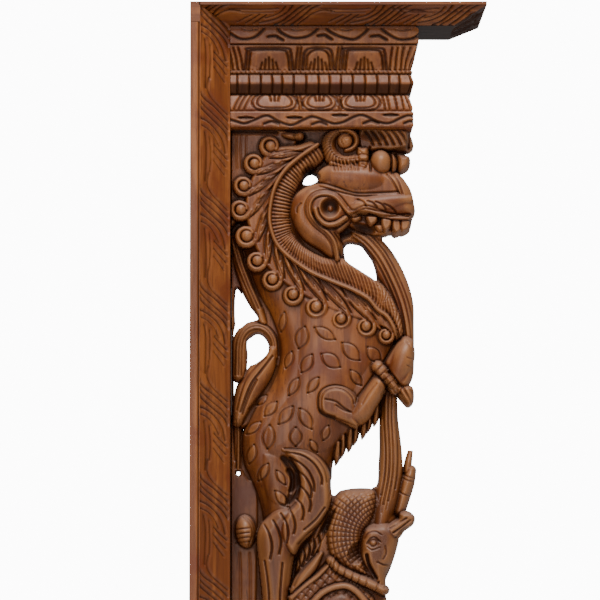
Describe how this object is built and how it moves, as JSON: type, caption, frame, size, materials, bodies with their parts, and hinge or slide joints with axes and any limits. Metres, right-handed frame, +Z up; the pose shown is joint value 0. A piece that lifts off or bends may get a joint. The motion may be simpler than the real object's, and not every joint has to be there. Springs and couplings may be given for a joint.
{
  "type": "wooden corbel bracket",
  "caption": "Carved wooden wall bracket: back board and shelf with leaf-carved bevels, and a corbel of a moulded capital over a rearing lion-like beast standing on a smaller horned beast.",
  "frame": {"origin": "the middle of the back board's rear face, which lies against the wall", "axes": "+X out from the wall, +Y across the bracket's width, +Z up; the bracket is alike on both sides of the plane y = 0"},
  "size_m": [0.2675, 0.156, 0.9],
  "materials": {
    "back_board": "satin polished hardwood, leaf grooves dark with age",
    "shelf": "satin polished hardwood, leaf grooves dark with age",
    "corbel": "satin polished carved hardwood, hollows dark with age, high places worn paler"
  },
  "bodies": {
    "root": {"back_board": "back_board", "shelf": "shelf", "corbel": "corbel"}
  },
  "joints": []
}
